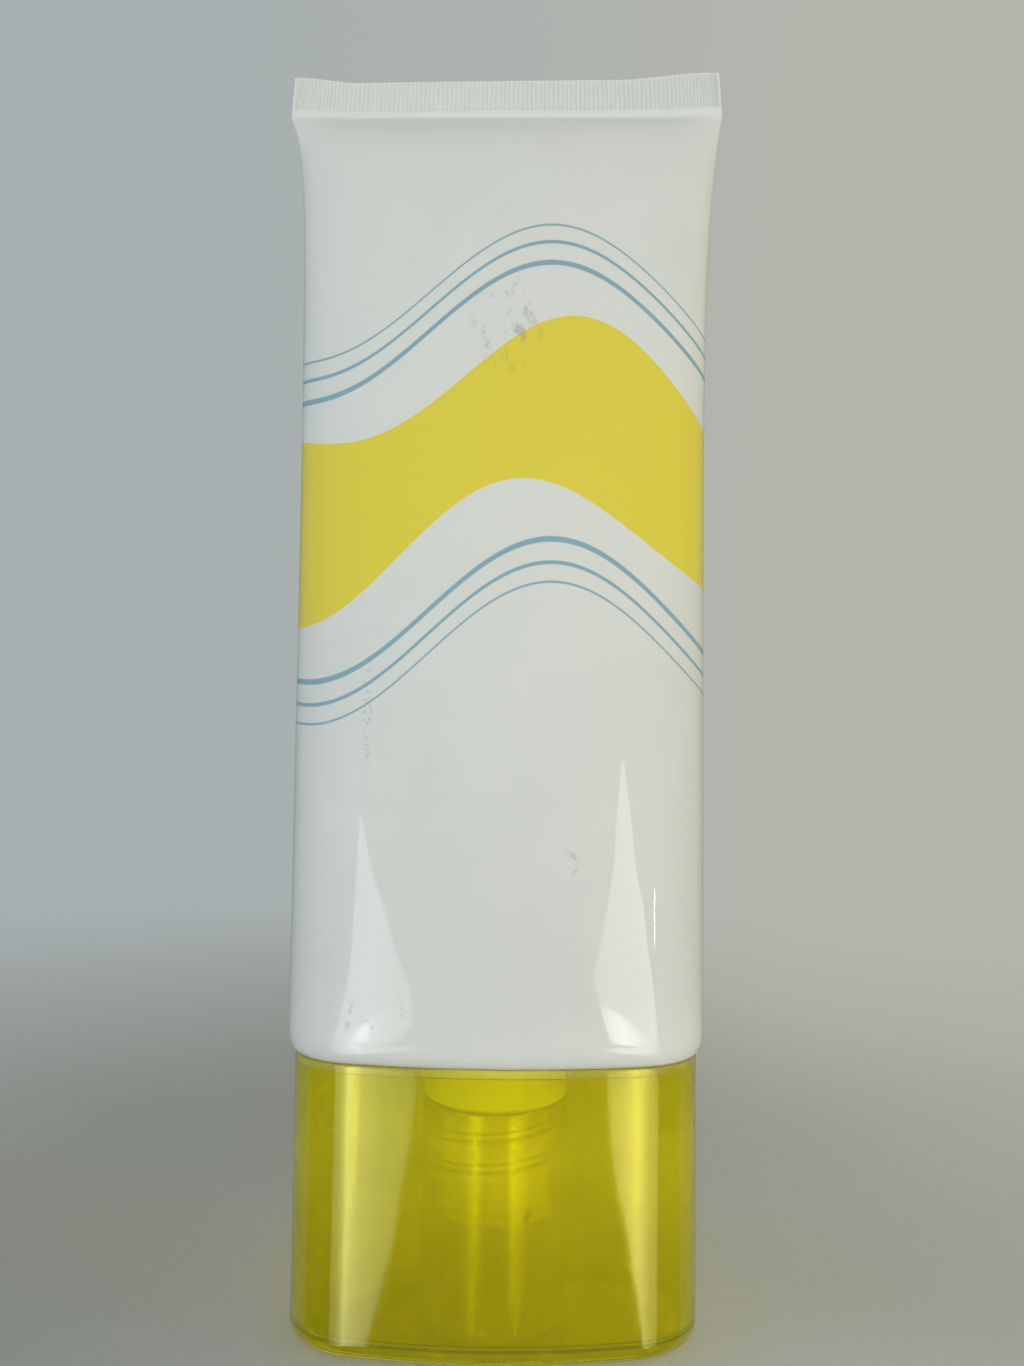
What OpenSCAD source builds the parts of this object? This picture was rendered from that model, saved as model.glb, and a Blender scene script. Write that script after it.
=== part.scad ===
// Squeeze tube for a cream, standing on its oval screw cap.
// Z runs up the tube from the cap's flat end, X is the width, and the printed front faces -Y.

/* [Neck of the tube] */
// Outside diameter of the neck, under the thread
neck_d = 13.8; // [12:0.1:16]
// Length of the neck, from the stop collar to the sealing land
neck_l = 13.3; // [11:0.1:15]
// Diameter of the channel inside the neck
neck_bore = 10.4; // [8:0.1:11]
// Diameter of the orifice in the sealing land
orifice_d = 5; // [3:0.1:7]
// Thickness of the sealing land round the orifice
land_t = 1.2; // [0.8:0.1:2]
// Height of the stop collar between the shoulder and the thread
collar_h = 5.8; // [4:0.1:7]
// How much smaller the stop collar is than the cap's socket, on the radius
collar_inset = 0.15; // [0.05:0.05:0.6]
// Thickness of the shoulder plate
shoulder_t = 1.6; // [1:0.1:2.5]
// Height of the skirt that the sleeve is welded to
skirt_h = 4.2; // [2.5:0.1:6]
// Thickness of that skirt
skirt_t = 1.4; // [1.1:0.1:2]

/* [Cap] */
// Width of the oval cap
cap_w = 52.2; // [48:0.1:58]
// Height of the cap
cap_h = 36; // [33:0.1:40]
// Thickness of the cap's side wall
cap_wall = 1.3; // [1.1:0.05:1.6]
// Thickness of the cap's flat end
cap_floor = 2.2; // [1.5:0.1:3]
// Outside radius between the flat end and the side wall
cap_edge_r = 2.2; // [1.2:0.1:3]
// Radius in the inside corner between the flat end and the side wall
cap_inner_r = 0.8; // [0.3:0.1:1.2]
// Height of the thinner lip at the cap's mouth
lip_h = 1.2; // [0.6:0.1:2]
// How much thinner the lip is than the wall
lip_step = 0.5; // [0.2:0.05:0.8]
// Diameter of the gate recess in the middle of the flat end
gate_d = 3; // [2:0.1:5]
// Depth of the gate recess
gate_depth = 0.4; // [0.2:0.05:0.6]

/* [Socket in the cap] */
// Thickness of the round socket's wall
socket_wall = 1.55; // [1.2:0.05:2]
// Space between the socket and the cap's front and back walls
socket_gap = 0.5; // [0.3:0.05:1.5]
// Space for the thread between the neck and the socket, on the radius
thread_room = 1; // [0.8:0.05:1.3]
// Width of the ledge that the sealing wad lies on
ledge_w = 1.4; // [0.8:0.1:2]
// Chamfer at the socket's mouth
mouth_chamfer = 0.5; // [0.2:0.05:0.8]
// Gap between the socket's mouth and the stop collar
mouth_gap = 0.3; // [0.1:0.05:0.6]

/* [Sealing wad] */
// Thickness of the wad
wad_t = 0.9; // [0.6:0.05:1.5]
// Gap between the wad's edge and the socket
wad_gap = 0.3; // [0.1:0.05:0.5]
// Gap above and below the wad
wad_play = 0.05; // [0.02:0.01:0.1]
// Chamfer round the wad's edges
wad_chamfer = 0.2; // [0.05:0.05:0.25]

/* [Sleeve] */
// Height of the soft body, from the shoulder to the sealed end
body_h = 127.7; // [110:0.1:150]
// Width of the sealed end, where the sleeve is pressed flat
seal_w = 60; // [57:0.1:66]
// Height of the sealed end at its highest corner
seal_h = 6.1; // [4:0.1:8]
// Thickness of the sealed end
seal_t = 1.1; // [1.05:0.05:1.6]
// How much narrower each side of the sealed end gets towards its top
seal_taper = 0.4; // [0:0.05:1]
// How far the cut edge dips between its corners
cut_dip = 1.2; // [0:0.05:1.8]
// How much lower the left corner of the cut edge is than the right one
cut_skew = 1.35; // [0:0.05:1.8]
// Thickness of the sleeve
sleeve_wall = 0.5; // [0.35:0.05:0.52]
// How far the sleeve stands out past the cap all round
sleeve_over = 1.1; // [0.8:0.05:1.6]
// Height of the rounded lower edge of the sleeve
hem_h = 2.6; // [1.6:0.1:4]
// How far the rounded lower edge draws in
hem_in = 0.95; // [0.5:0.05:1.1]
// Gap between the sleeve's lower edge and the cap's rim
rim_gap = 0.2; // [0.1:0.05:0.5]
// Gap between the sleeve and the moulded shoulder that it is welded to
weld_gap = 0.05; // [0.02:0.01:0.1]

/* [Cream] */
// Gap kept between the cream and what holds it
cream_gap = 0.3; // [0.2:0.05:0.5]
// Share of the body's height that the cream fills
fill_share = 0.88; // [0.5:0.01:0.95]

/* [Hidden] */
$fn = 96;

// Shapes
end_radius_share = 0.853;    // end radius of the oval, as a share of half its depth
thin_power_share = 3;        // how late the body starts to get thinner towards the seal
thin_round_share = 0.8;      // how straight it then runs into the seal
flare_power_share = 7.5;     // how late the body starts to get wider towards the seal
lens_most_share = 0.75;      // how far the middle of the body goes from oval to lens
crowd_power_share = 1.4;     // crowds the rings of the body towards the seal
ear_start_share = 0.7;       // where the cut edge starts to rise towards a corner
ear_end_share = 0.95;        // where it has risen
flow_angle = 45;             // slope of the funnel under the shoulder

// Counts
end_points = 20;             // points on each narrow end of a sleeve section
side_points = 12;            // points on each broad side
hem_rings = 5;
body_rings = 22;
cream_end_points = 12;
cream_side_points = 8;
cream_rings = 12;

// Heights
shoulder_z = cap_h + rim_gap;
collar_z = shoulder_z - collar_h;
land_z = collar_z - neck_l;
ledge_z = land_z - wad_t - 2 * wad_play;
mouth_z = collar_z - mouth_gap;
seal_z = shoulder_z + body_h;
skirt_z = shoulder_z + hem_h / 2;
cream_z = shoulder_z + shoulder_t + cream_gap;
overrun = 1;
overlap = 0.2;

// Diameters of the socket and what goes in it
socket_bore = neck_d + 2 * thread_room;
socket_d = socket_bore + 2 * socket_wall;
lower_bore = socket_bore - 2 * ledge_w;
collar_d = socket_d - 2 * collar_inset;
wad_d = socket_bore - 2 * wad_gap;

// Ovals: half width, half depth
cap_a = cap_w / 2;
cap_b = socket_d / 2 + socket_gap + cap_wall;
cap_foot = cap_edge_r + cap_wall;
body_a = cap_a + sleeve_over;
body_b = cap_b + sleeve_over;
seam_half = seal_t / 2 - sleeve_wall;

// An oval of four arcs: a is half its width, b half its depth
function end_r(b) = end_radius_share * b;
function side_r(a, b, r) = ((a - r) ^ 2 + b ^ 2 - r ^ 2) / (2 * (b - r));
function side_angle(a, b, r) = asin((a - r) / (side_r(a, b, r) - r));

// Points round that oval, anticlockwise, with n_end on each end and n_side on each side.
// The arcs of an inset oval keep the same centres, so the radius is given.
function oval_points(a, b, r, n_end, n_side) =
    let (big = side_r(a, b, r), half = side_angle(a, b, r))
    concat(
        [for (i = [0 : n_end - 1]) let (t = half - 90 + (180 - 2 * half) * i / n_end)
            [a - r + r * cos(t), r * sin(t)]],
        [for (i = [0 : n_side - 1]) let (t = 90 - half + 2 * half * i / n_side)
            [big * cos(t), big * sin(t) - (big - b)]],
        [for (i = [0 : n_end - 1]) let (t = 90 + half + (180 - 2 * half) * i / n_end)
            [r - a + r * cos(t), r * sin(t)]],
        [for (i = [0 : n_side - 1]) let (t = 270 - half + 2 * half * i / n_side)
            [big * cos(t), big * sin(t) + (big - b)]]
    );

// Carries a profile round the oval: x = 0 is the outline, minus is inwards, y is the height
module round_oval(a, b, r) {
    big = side_r(a, b, r);
    half = side_angle(a, b, r);
    for (side = [0, 180])
        rotate([0, 0, side]) {
            translate([a - r, 0, 0])
                rotate([0, 0, half - 90])
                    rotate_extrude(angle = 180 - 2 * half) translate([r, 0]) children();
            translate([0, b - big, 0])
                rotate([0, 0, 90 - half])
                    rotate_extrude(angle = 2 * half) translate([big, 0]) children();
        }
}

// A flat oval plate with true arcs round its edge
module oval_plate(a, b, r, rim, h) {
    round_oval(a, b, r) translate([-rim, 0]) square([rim, h]);
    linear_extrude(h) oval_2d(a - rim / 2, b - rim / 2, r - rim / 2);
}

module oval_2d(a, b, r) {
    polygon(oval_points(a, b, r, end_points, side_points));
}

// Section of the body at the share t of its height: the oval goes to a lens and flat at the seal
function body_half_w(t) = body_a + (seal_w / 2 - body_a) * t ^ flare_power_share;
function body_half_t(t) =
    seal_t / 2 + (body_b - seal_t / 2) * (1 - t ^ thin_power_share) ^ thin_round_share;
function lens(t) = lens_most_share * sin(180 * t);
function body_z(t) = shoulder_z + hem_h + (body_h - hem_h) * t;
function crowd(s) = 1 - (1 - s) ^ crowd_power_share;

function unit_oval(n_end, n_side) =
    [for (p = oval_points(body_a, body_b, end_r(body_b), n_end, n_side)) [p.x / body_a, p.y / body_b]];
function section(unit, a, b, round, z) =
    [for (u = unit)
        [a * u.x, b * ((1 - round) * u.y + round * sign(u.y) * sqrt(max(0, 1 - u.x ^ 2))), z]];

// Height of the cut edge at a share of its half width: it rises to ears at its corners
function eased(s) = let (c = min(max(s, 0), 1)) c * c * (3 - 2 * c);
function ear(u) = eased((abs(u) - ear_start_share) / (ear_end_share - ear_start_share));
function cut_z(u) = seal_z + seal_h - cut_skew * (1 - u) / 2 - cut_dip * (1 - ear(u));

// Faces across a ring, each between two points on the front and the two opposite them on the back.
// The ring's point number tip lies on the +x end.
function across(n, tip) =
    [for (j = [0 : n / 2 - 1])
        let (a = (tip + j) % n, b = (tip + j + 1) % n, c = (n + tip - j - 1) % n, d = (n + tip - j) % n)
        j == 0 ? [a, b, c] : j == n / 2 - 1 ? [a, b, d] : [a, b, c, d]];

// A closed solid through rings of points that all have as many points as the first
module loft(rings, tip) {
    n = len(rings[0]);
    last = len(rings) - 1;
    polyhedron(
        points = [for (ring = rings) each ring],
        faces = concat(
            across(n, tip),
            [for (j = [0 : last - 1]) for (k = [0 : n - 1])
                let (m = (k + 1) % n) each [
                    [j * n + k, (j + 1) * n + k, (j + 1) * n + m],
                    [j * n + k, (j + 1) * n + m, j * n + m]
                ]],
            [for (face = across(n, tip)) [for (i = [len(face) - 1 : -1 : 0]) last * n + face[i]]]
        )
    );
}

// The rounded lower edge: an ellipse's quarter that starts level and ends upright
function hem_ring(unit, inset, q) =
    let (in = hem_in * (1 - sin(q)) + inset)
    section(unit, body_a - in, body_b - in, 0, shoulder_z + hem_h * (1 - cos(q)));

module sleeve_outside() {
    unit = unit_oval(end_points, side_points);
    cut_half = seal_w / 2 - seal_taper;
    loft(concat(
        [for (i = [0 : hem_rings - 1]) hem_ring(unit, 0, 90 * i / hem_rings)],
        [for (i = [0 : body_rings]) let (t = crowd(i / body_rings))
            section(unit, body_half_w(t), body_half_t(t), lens(t), body_z(t))],
        [[for (p = section(unit, cut_half, seal_t / 2, 0, seal_z)) [p.x, p.y, cut_z(p.x / cut_half)]]]
    ), end_points / 2);
}

module sleeve_inside() {
    unit = unit_oval(end_points, side_points);
    below = hem_ring(unit, sleeve_wall, 0);
    loft(concat(
        [[for (p = below) [p.x, p.y, p.z - overrun]]],
        [for (i = [0 : hem_rings - 1]) hem_ring(unit, sleeve_wall, 90 * i / hem_rings)],
        [for (i = [0 : body_rings]) let (t = crowd(i / body_rings))
            section(unit, body_half_w(t) - sleeve_wall, max(body_half_t(t) - sleeve_wall, seam_half),
                lens(t), body_z(t))]
    ), end_points / 2);
}

module sleeve() {
    color([0.87, 0.88, 0.86])
        difference() {
            sleeve_outside();
            sleeve_inside();
        }
}

module tube_head() {
    plate_in = hem_in + sleeve_wall + weld_gap;
    skirt_in = sleeve_wall + 4 * weld_gap;
    plate_a = body_a - plate_in;
    plate_b = body_b - plate_in;
    skirt_a = body_a - skirt_in;
    skirt_b = body_b - skirt_in;
    end = end_r(body_b);
    funnel_d = neck_bore + 2 * shoulder_t / tan(flow_angle);
    color([0.93, 0.94, 0.92])
        difference() {
            union() {
                translate([0, 0, shoulder_z])
                    oval_plate(plate_a, plate_b, end - plate_in, skirt_t, shoulder_t);
                translate([0, 0, skirt_z])
                    round_oval(skirt_a, skirt_b, end - skirt_in)
                        translate([-skirt_t, 0]) square([skirt_t, skirt_h]);
                translate([0, 0, collar_z]) cylinder(d = collar_d, h = collar_h + shoulder_t / 2);
                translate([0, 0, land_z]) cylinder(d = neck_d, h = neck_l + overlap);
            }
            translate([0, 0, land_z + land_t])
                cylinder(d = neck_bore, h = shoulder_z + shoulder_t - land_z - land_t + overrun);
            translate([0, 0, land_z - overrun]) cylinder(d = orifice_d, h = land_t + 2 * overrun);
            translate([0, 0, shoulder_z])
                cylinder(d1 = neck_bore, d2 = funnel_d, h = shoulder_t + overlap);
        }
}

// The cap's wall, its foot under the wall, and the thinner lip at the mouth
module cap_profile() {
    difference() {
        union() {
            translate([-cap_wall, cap_edge_r]) square([cap_wall, cap_h - cap_edge_r]);
            intersection() {
                translate([-cap_edge_r, cap_edge_r]) circle(r = cap_edge_r);
                translate([-cap_edge_r, 0]) square(cap_edge_r);
            }
            translate([-cap_foot, 0]) square([cap_foot - cap_edge_r, cap_floor]);
            translate([-cap_wall - cap_inner_r, cap_floor])
                difference() {
                    square(cap_inner_r + overlap);
                    translate([0, cap_inner_r]) circle(r = cap_inner_r);
                }
        }
        translate([-cap_wall - overrun, cap_h - lip_h]) square([lip_step + overrun, lip_h + overrun]);
    }
}

module cap() {
    end = end_r(cap_b);
    inside = cap_foot - cap_wall / 2;
    color([0.68, 0.64, 0.1, 0.8])
        difference() {
            union() {
                round_oval(cap_a, cap_b, end) cap_profile();
                linear_extrude(cap_floor) oval_2d(cap_a - inside, cap_b - inside, end - inside);
                cylinder(d = socket_d, h = mouth_z);
            }
            translate([0, 0, cap_floor]) cylinder(d = lower_bore, h = mouth_z);
            translate([0, 0, ledge_z]) cylinder(d = socket_bore, h = mouth_z);
            translate([0, 0, mouth_z - mouth_chamfer])
                cylinder(d1 = socket_bore, d2 = socket_bore + 2 * mouth_chamfer, h = mouth_chamfer);
            translate([0, 0, -overrun]) cylinder(d = gate_d, h = gate_depth + overrun);
        }
}

module wad() {
    color([0.95, 0.95, 0.93])
        translate([0, 0, ledge_z + wad_play])
            rotate_extrude()
                polygon([
                    [0, 0],
                    [wad_d / 2 - wad_chamfer, 0],
                    [wad_d / 2, wad_chamfer],
                    [wad_d / 2, wad_t - wad_chamfer],
                    [wad_d / 2 - wad_chamfer, wad_t],
                    [0, wad_t]
                ]);
}

module cream() {
    unit = unit_oval(cream_end_points, cream_side_points);
    inset = sleeve_wall + cream_gap;
    skirt_top = skirt_z + skirt_h + cream_gap;
    skirt_inset = sleeve_wall + 4 * weld_gap + skirt_t + cream_gap;
    start = (skirt_top - shoulder_z - hem_h) / (body_h - hem_h);
    color([0.97, 0.96, 0.92]) {
        loft(concat(
            [for (z = [cream_z, skirt_top])
                section(unit, body_a - skirt_inset, body_b - skirt_inset, 0, z)],
            [for (i = [0 : cream_rings]) let (t = start + (fill_share - start) * i / cream_rings)
                section(unit, body_half_w(t) - inset, body_half_t(t) - inset, lens(t), body_z(t))]
        ), cream_end_points / 2);
        translate([0, 0, land_z + land_t + cream_gap])
            cylinder(d = neck_bore - 2 * cream_gap, h = cream_z - land_z - land_t - cream_gap + overlap);
    }
}

cap();
wad();
tube_head();
sleeve();
cream();
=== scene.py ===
"""Looks of a squeeze tube that stands on its oval screw cap.

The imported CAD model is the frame. Every new piece is a surface that numpy works out as whole arrays,
and every finish is a set of nodes that reads Object coordinates.
"""

import math

import bpy
import numpy as np
from mathutils import Matrix, Vector


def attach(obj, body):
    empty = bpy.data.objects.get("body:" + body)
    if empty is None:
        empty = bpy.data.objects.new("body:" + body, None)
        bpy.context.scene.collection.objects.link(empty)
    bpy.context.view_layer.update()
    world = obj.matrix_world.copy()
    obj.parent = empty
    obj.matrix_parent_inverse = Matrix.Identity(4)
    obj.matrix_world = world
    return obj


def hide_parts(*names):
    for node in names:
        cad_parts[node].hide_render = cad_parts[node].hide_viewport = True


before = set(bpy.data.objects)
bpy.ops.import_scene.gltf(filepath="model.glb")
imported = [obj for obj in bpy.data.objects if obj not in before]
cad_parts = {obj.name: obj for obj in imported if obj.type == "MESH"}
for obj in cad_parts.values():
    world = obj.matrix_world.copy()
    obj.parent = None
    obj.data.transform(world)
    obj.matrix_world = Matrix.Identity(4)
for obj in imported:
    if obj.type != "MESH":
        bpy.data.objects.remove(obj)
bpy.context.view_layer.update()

bl_info = {
    "name": "Squeeze Tube with Oval Screw Cap",
    "version": (1, 0, 0),
    "blender": (4, 5, 0),
    "location": "3D View > Sidebar > Tube",
    "description": "Builds the visible pieces, finishes and studio of a squeeze tube",
    "category": "Add Mesh",
}

MM = 0.001
FULL_TURN = 2 * math.pi
SHARP_ANGLE = math.radians(32)
CAP_STEPS = 288
HEAD_STEPS = 192
CREAM_STEPS = 160
RIB_STEPS = 4
RIBS_ROUND = 236
END_SHARE = 0.853
THIN_POWER = 3
THIN_ROUND = 0.8
EAR_START = 0.7
EAR_END = 0.95
LENS_MOST = 0.75
# Along the sleeve's half width: where the cut edge's dip ends on the left and on the right.
LEFT_DIP_END = (0.68, 1.04)
RIGHT_DIP_END = (0.5, 1.0)
SWELL_EDGE = 8
SWELL_LESS = 0.4
# Shares of the pressed end's height.
RIBS_START = (0.16, 0.24)
RIBS_END = (0.95, 1.0)
STUD_ROW = 0.19
STUD_SPREAD = 0.035
# Brightness of the painted highlight along the smooth bar of the pressed end.
BAR_GLEAM = 0.4
FLARE_RIGHT = 7.5
FLARE_EARLY = 6
FLARE_LATE = 30
EARLY_SHARE = 0.4
SLEEVE_SHARP = math.radians(50)
THREAD_ROWS = 84
THREAD_Z = 18.5 * MM
THREAD_HALF_WIDTH = 0.72 * MM
THREAD_RUN_OUT = 0.125
NECK_TURNS = (0.0, 2.55)
SOCKET_TURNS = (0.1, 2.35)
FLOOR_STEPS = 96
WINDOW_RADIUS = 3.0
WINDOW_CENTRE_Z = 0.036
CLEAR_WALL_BOOST = 4.7
# The fine lines: distance from the band's middle and width, in millimetres.
PRINT_LINES = ((18.5, 0.75), (21.5, 0.5), (24.0, 0.3), (-19.0, 0.75), (-22.0, 0.5), (-24.5, 0.3))
# The dirt: middle in x and z, half width and half height in millimetres, and where its noise sets in.
RUBBED_SPOTS = ((0.5, 131, 5.5, 8, 0.52), (-16, 42, 6, 5, 0.56), (7.8, 61, 4.5, 3, 0.56))
FINE_SPOTS = ((-16.6, 80, 0.8, 9, 0.54),)


# Sizes and colours


def length(name, description, millimetres):
    """A length property, kept in metres."""
    return bpy.props.FloatProperty(
        name=name, description=description, default=millimetres * MM, unit="LENGTH", precision=5)


def shaded(tint, shares):
    """A colour with each value times its own share, and no brighter than 1."""
    return tuple(min(value * share, 1) for value, share in zip(tint, shares))


def number(name, description, default, unit="NONE"):
    """A plain number."""
    return bpy.props.FloatProperty(name=name, description=description, default=default, unit=unit)


def colour(name, description, default):
    """A colour property in linear values."""
    return bpy.props.FloatVectorProperty(
        name=name, description=description, default=default, size=3, min=0, max=1, subtype="COLOR")


class TubeCapSizes(bpy.types.PropertyGroup):
    """Lengths of the oval cap and the socket in it."""

    width: length("Width", "Width of the oval cap", 52.9)
    depth: length("Depth", "Depth of the oval cap", 22.5)
    height: length("Height", "Height of the cap", 36)
    wall: length("Wall", "Thickness of the side wall", 1.3)
    floor: length("Flat End", "Thickness of the flat end", 2.2)
    edge_radius: length("Edge Radius", "Outside radius round the flat end", 2.2)
    inner_radius: length("Inner Radius", "Radius in the inside corner", 0.8)
    lip_height: length("Lip Height", "Height of the thinner lip", 1.2)
    lip_step: length("Lip Step", "How much thinner the lip is", 0.5)
    gate_diameter: length("Gate", "Diameter of the gate recess", 3)
    gate_depth: length("Gate Depth", "Depth of the gate recess", 0.4)
    socket_diameter: length("Socket", "Outside diameter of the round socket", 18.9)
    socket_bore: length("Socket Bore", "Diameter of the threaded bore", 15.8)
    lower_bore: length("Lower Bore", "Diameter under the ledge", 13)
    ledge_z: length("Ledge", "Height of the ledge that the wad lies on", 16.1)
    mouth_z: length("Mouth", "Height of the socket's mouth", 30.1)
    mouth_chamfer: length("Mouth Chamfer", "Chamfer at the socket's mouth", 0.5)
    ridge_height: length("Ridge", "Height of the thread ridge in the socket", 0.75)


class TubeHeadSizes(bpy.types.PropertyGroup):
    """Lengths of the moulded head that the sleeve is welded to."""

    neck_diameter: length("Neck", "Diameter of the neck under the thread", 13.8)
    neck_bore: length("Channel", "Diameter of the channel in the neck", 10.4)
    orifice: length("Orifice", "Diameter of the orifice", 5)
    land_z: length("Land", "Height of the sealing land", 17.1)
    land_thickness: length("Land Thickness", "Thickness of the sealing land", 1.2)
    collar_diameter: length("Collar", "Diameter of the stop collar", 18.6)
    collar_z: length("Collar Height", "Where the stop collar starts", 30.4)
    shoulder_z: length("Shoulder", "Underside of the shoulder plate", 36.2)
    shoulder_thickness: length("Shoulder Thickness", "Thickness of the shoulder plate", 1.6)
    skirt_top: length("Skirt Top", "Top of the skirt inside the sleeve", 41.7)
    skirt_thickness: length("Skirt Thickness", "Thickness of the skirt", 1.4)
    pitch: length("Pitch", "Pitch of the thread", 3.8)
    ridge_height: length("Ridge", "Height of the thread ridge on the neck", 0.65)


class TubeSleeveSizes(bpy.types.PropertyGroup):
    """Lengths of the soft sleeve and its pressed end."""

    width: length("Width", "Width of the body over the shoulder", 54.8)
    depth: length("Depth", "Depth of the body over the shoulder", 24.7)
    bottom_z: length("Bottom", "Height of the lower edge", 36.2)
    body_height: length("Body Height", "Height of the soft body", 127.7)
    seal_width: length("Seal Width", "Width of the pressed end", 60)
    seal_height: length("Seal Height", "Height of the pressed end at its highest corner", 6.1)
    seal_thickness: length("Seal Thickness", "Thickness of the pressed end", 1.1)
    seal_taper: length("Seal Taper", "How much each side draws in at the top", 0.4)
    seal_skew: length("Seal Skew", "How much lower the pressed end starts on its left", 1.1)
    seal_sag: length("Seal Sag", "How far the pressed end sags between its corners", 0.4)
    cut_skew: length("Cut Skew", "How much lower the left corner of the cut edge is", 1.35)
    cut_dip: length("Cut Dip", "How far the cut edge dips between its corners", 1.12)
    swell: length("Swell", "How far the body swells out just under the pressed end", 0.85)
    swell_run: length("Swell Run", "How far under the pressed end that swell is greatest", 5.5)
    wall: length("Wall", "Thickness of the sleeve", 0.5)
    hem_height: length("Hem Height", "Height of the rounded lower edge", 2.6)
    hem_in: length("Hem Inset", "How far the lower edge draws in", 0.95)
    rib_depth: length("Rib Depth", "Depth of the ribs pressed into the end", 0.17)
    stud_pitch: length("Stud Pitch", "Distance between the small studs in the pressed end", 0.95)
    stud_height: length("Stud Height", "Height of those studs", 0.14)


class TubeColours(bpy.types.PropertyGroup):
    """Colours of the finishes."""

    cap: colour("Cap", "Clear yellow plastic of the cap", (0.705, 0.675, 0.034))
    sleeve: colour("Sleeve", "White plastic of the sleeve", (0.80, 0.82, 0.80))
    band: colour("Band", "Yellow ink of the wave band", (0.85, 0.72, 0.075))
    line: colour("Lines", "Blue ink of the fine lines", (0.25, 0.44, 0.55))
    scuff: colour("Scuffs", "Grey of the rubbed-in dirt", (0.30, 0.29, 0.28))
    head: colour("Head", "White plastic of the head", (0.84, 0.85, 0.82))
    wad: colour("Wad", "White foam of the sealing wad", (0.86, 0.86, 0.83))
    cream: colour("Cream", "Cream inside the tube", (0.87, 0.84, 0.76))


class TubeStudio(bpy.types.PropertyGroup):
    """Camera and light of the studio."""

    lens: number("Lens", "Focal length of the camera", 29.25, "CAMERA")
    camera_place: bpy.props.FloatVectorProperty(
        name="Camera Place", description="Where the camera stands",
        default=(0.0016, -0.150, 0.076), size=3, unit="LENGTH", precision=5)
    camera_pitch: number("Camera Pitch", "How far the camera looks up", math.radians(3.2), "ROTATION")
    camera_roll: number(
        "Camera Roll", "How far the picture is turned clockwise", math.radians(0.64), "ROTATION")
    backdrop_left: colour("Backdrop Left", "Cooler side of the backdrop", (0.38, 0.425, 0.435))
    backdrop_right: colour("Backdrop Right", "Warmer side of the backdrop", (0.46, 0.465, 0.415))
    key_power: number("Key Power", "Power of the main light in watts", 0.30)
    window_strength: number("Window Strength", "Brightness of the mirrored windows", 5.7)


# Curves and surfaces


def smooth_step(low, high, value):
    """0 below low and 1 above high, with an S curve between: 3 s squared minus 2 s cubed."""
    s = np.clip((value - low) / (high - low), 0, 1)
    return s * s * (3 - 2 * s)


class Oval:
    """An oval of four arcs: a half width, b half depth, r radius of the two end arcs.

    The side arcs have the radius ((a - r)^2 + b^2 - r^2) / (2 (b - r)), which meets the ends smoothly.
    """

    def __init__(self, a, b, r):
        self.a = a
        self.b = b
        self.r = r
        self.side = ((a - r) ** 2 + b ** 2 - r ** 2) / (2 * (b - r))
        self.middle = a - r
        self.drop = self.side - b
        self.side_angle = math.asin(self.middle / (self.side - r))

    def inset(self, distance):
        """The same oval further in; its arcs keep their centres."""
        return Oval(self.a - distance, self.b - distance, self.r - distance)

    def reach(self, angle):
        """Distance from the middle to the oval in each direction.

        On an end arc: m cos + sqrt(r^2 - m^2 sin^2), with m the arc's centre on the x axis.
        On a side arc: -d sin + sqrt(R^2 - d^2 cos^2), with d the arc's centre below the middle.
        """
        c = np.abs(np.cos(angle))
        s = np.abs(np.sin(angle))
        joint = math.atan2(
            self.r * math.cos(self.side_angle), self.middle + self.r * math.sin(self.side_angle))
        end = self.middle * c + np.sqrt(np.maximum(self.r ** 2 - (self.middle * s) ** 2, 0))
        side = np.sqrt(self.side ** 2 - (self.drop * c) ** 2) - self.drop * s
        return np.where(np.arctan2(s, c) < joint, end, side)

    def even_points(self, count):
        """Points at equal steps along the oval, anticlockwise from the +x end, as shares of a and b.

        A step is folded into the first quarter, laid on the end arc or the side arc there,
        and given the signs of its own quarter.
        """
        end_length = self.r * (math.pi / 2 - self.side_angle)
        quarter = end_length + self.side * self.side_angle
        way = np.arange(count) * (4 * quarter / count)
        part = np.minimum((way / quarter).astype(int), 3)
        along = way - part * quarter
        along = np.where(part % 2 == 1, quarter - along, along)
        turn_end = along / self.r
        turn_side = (math.pi / 2 - self.side_angle) + (along - end_length) / self.side
        on_end = along < end_length
        x = np.where(on_end, self.middle + self.r * np.cos(turn_end), self.side * np.cos(turn_side))
        y = np.where(on_end, self.r * np.sin(turn_end), self.side * np.sin(turn_side) - self.drop)
        sign_x = np.where((part == 1) | (part == 2), -1, 1)
        sign_y = np.where(part >= 2, -1, 1)
        return sign_x * x / self.a, sign_y * y / self.b


def rays(steps):
    """Equal turns round the Z axis."""
    return np.arange(steps) * (FULL_TURN / steps)


def polar_rings(angle, rows):
    """Rings whose points lie at the given turns: each row is (reach, z), a number or an array."""
    reach = np.stack([np.broadcast_to(row[0], angle.shape) for row in rows])
    z = np.stack([np.broadcast_to(row[1], angle.shape) for row in rows])
    return np.stack([reach * np.cos(angle), reach * np.sin(angle), z], axis=-1)


def quarter_round(steps):
    """Sine and 1 - cosine of a quarter turn in equal steps."""
    q = np.linspace(0, math.pi / 2, steps + 1)
    return list(zip(np.sin(q), 1 - np.cos(q)))


def ring_faces(rows, steps, wrap):
    """Quads between each ring and the next; with wrap the last ring joins the first."""
    row = np.arange(rows if wrap else rows - 1)[:, None]
    column = np.arange(steps)[None, :]
    above = (row + 1) % rows
    beside = (column + 1) % steps
    corners = [row * steps + column, row * steps + beside, above * steps + beside, above * steps + column]
    return np.stack(np.broadcast_arrays(*corners), axis=-1).reshape(-1, 4)


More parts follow.
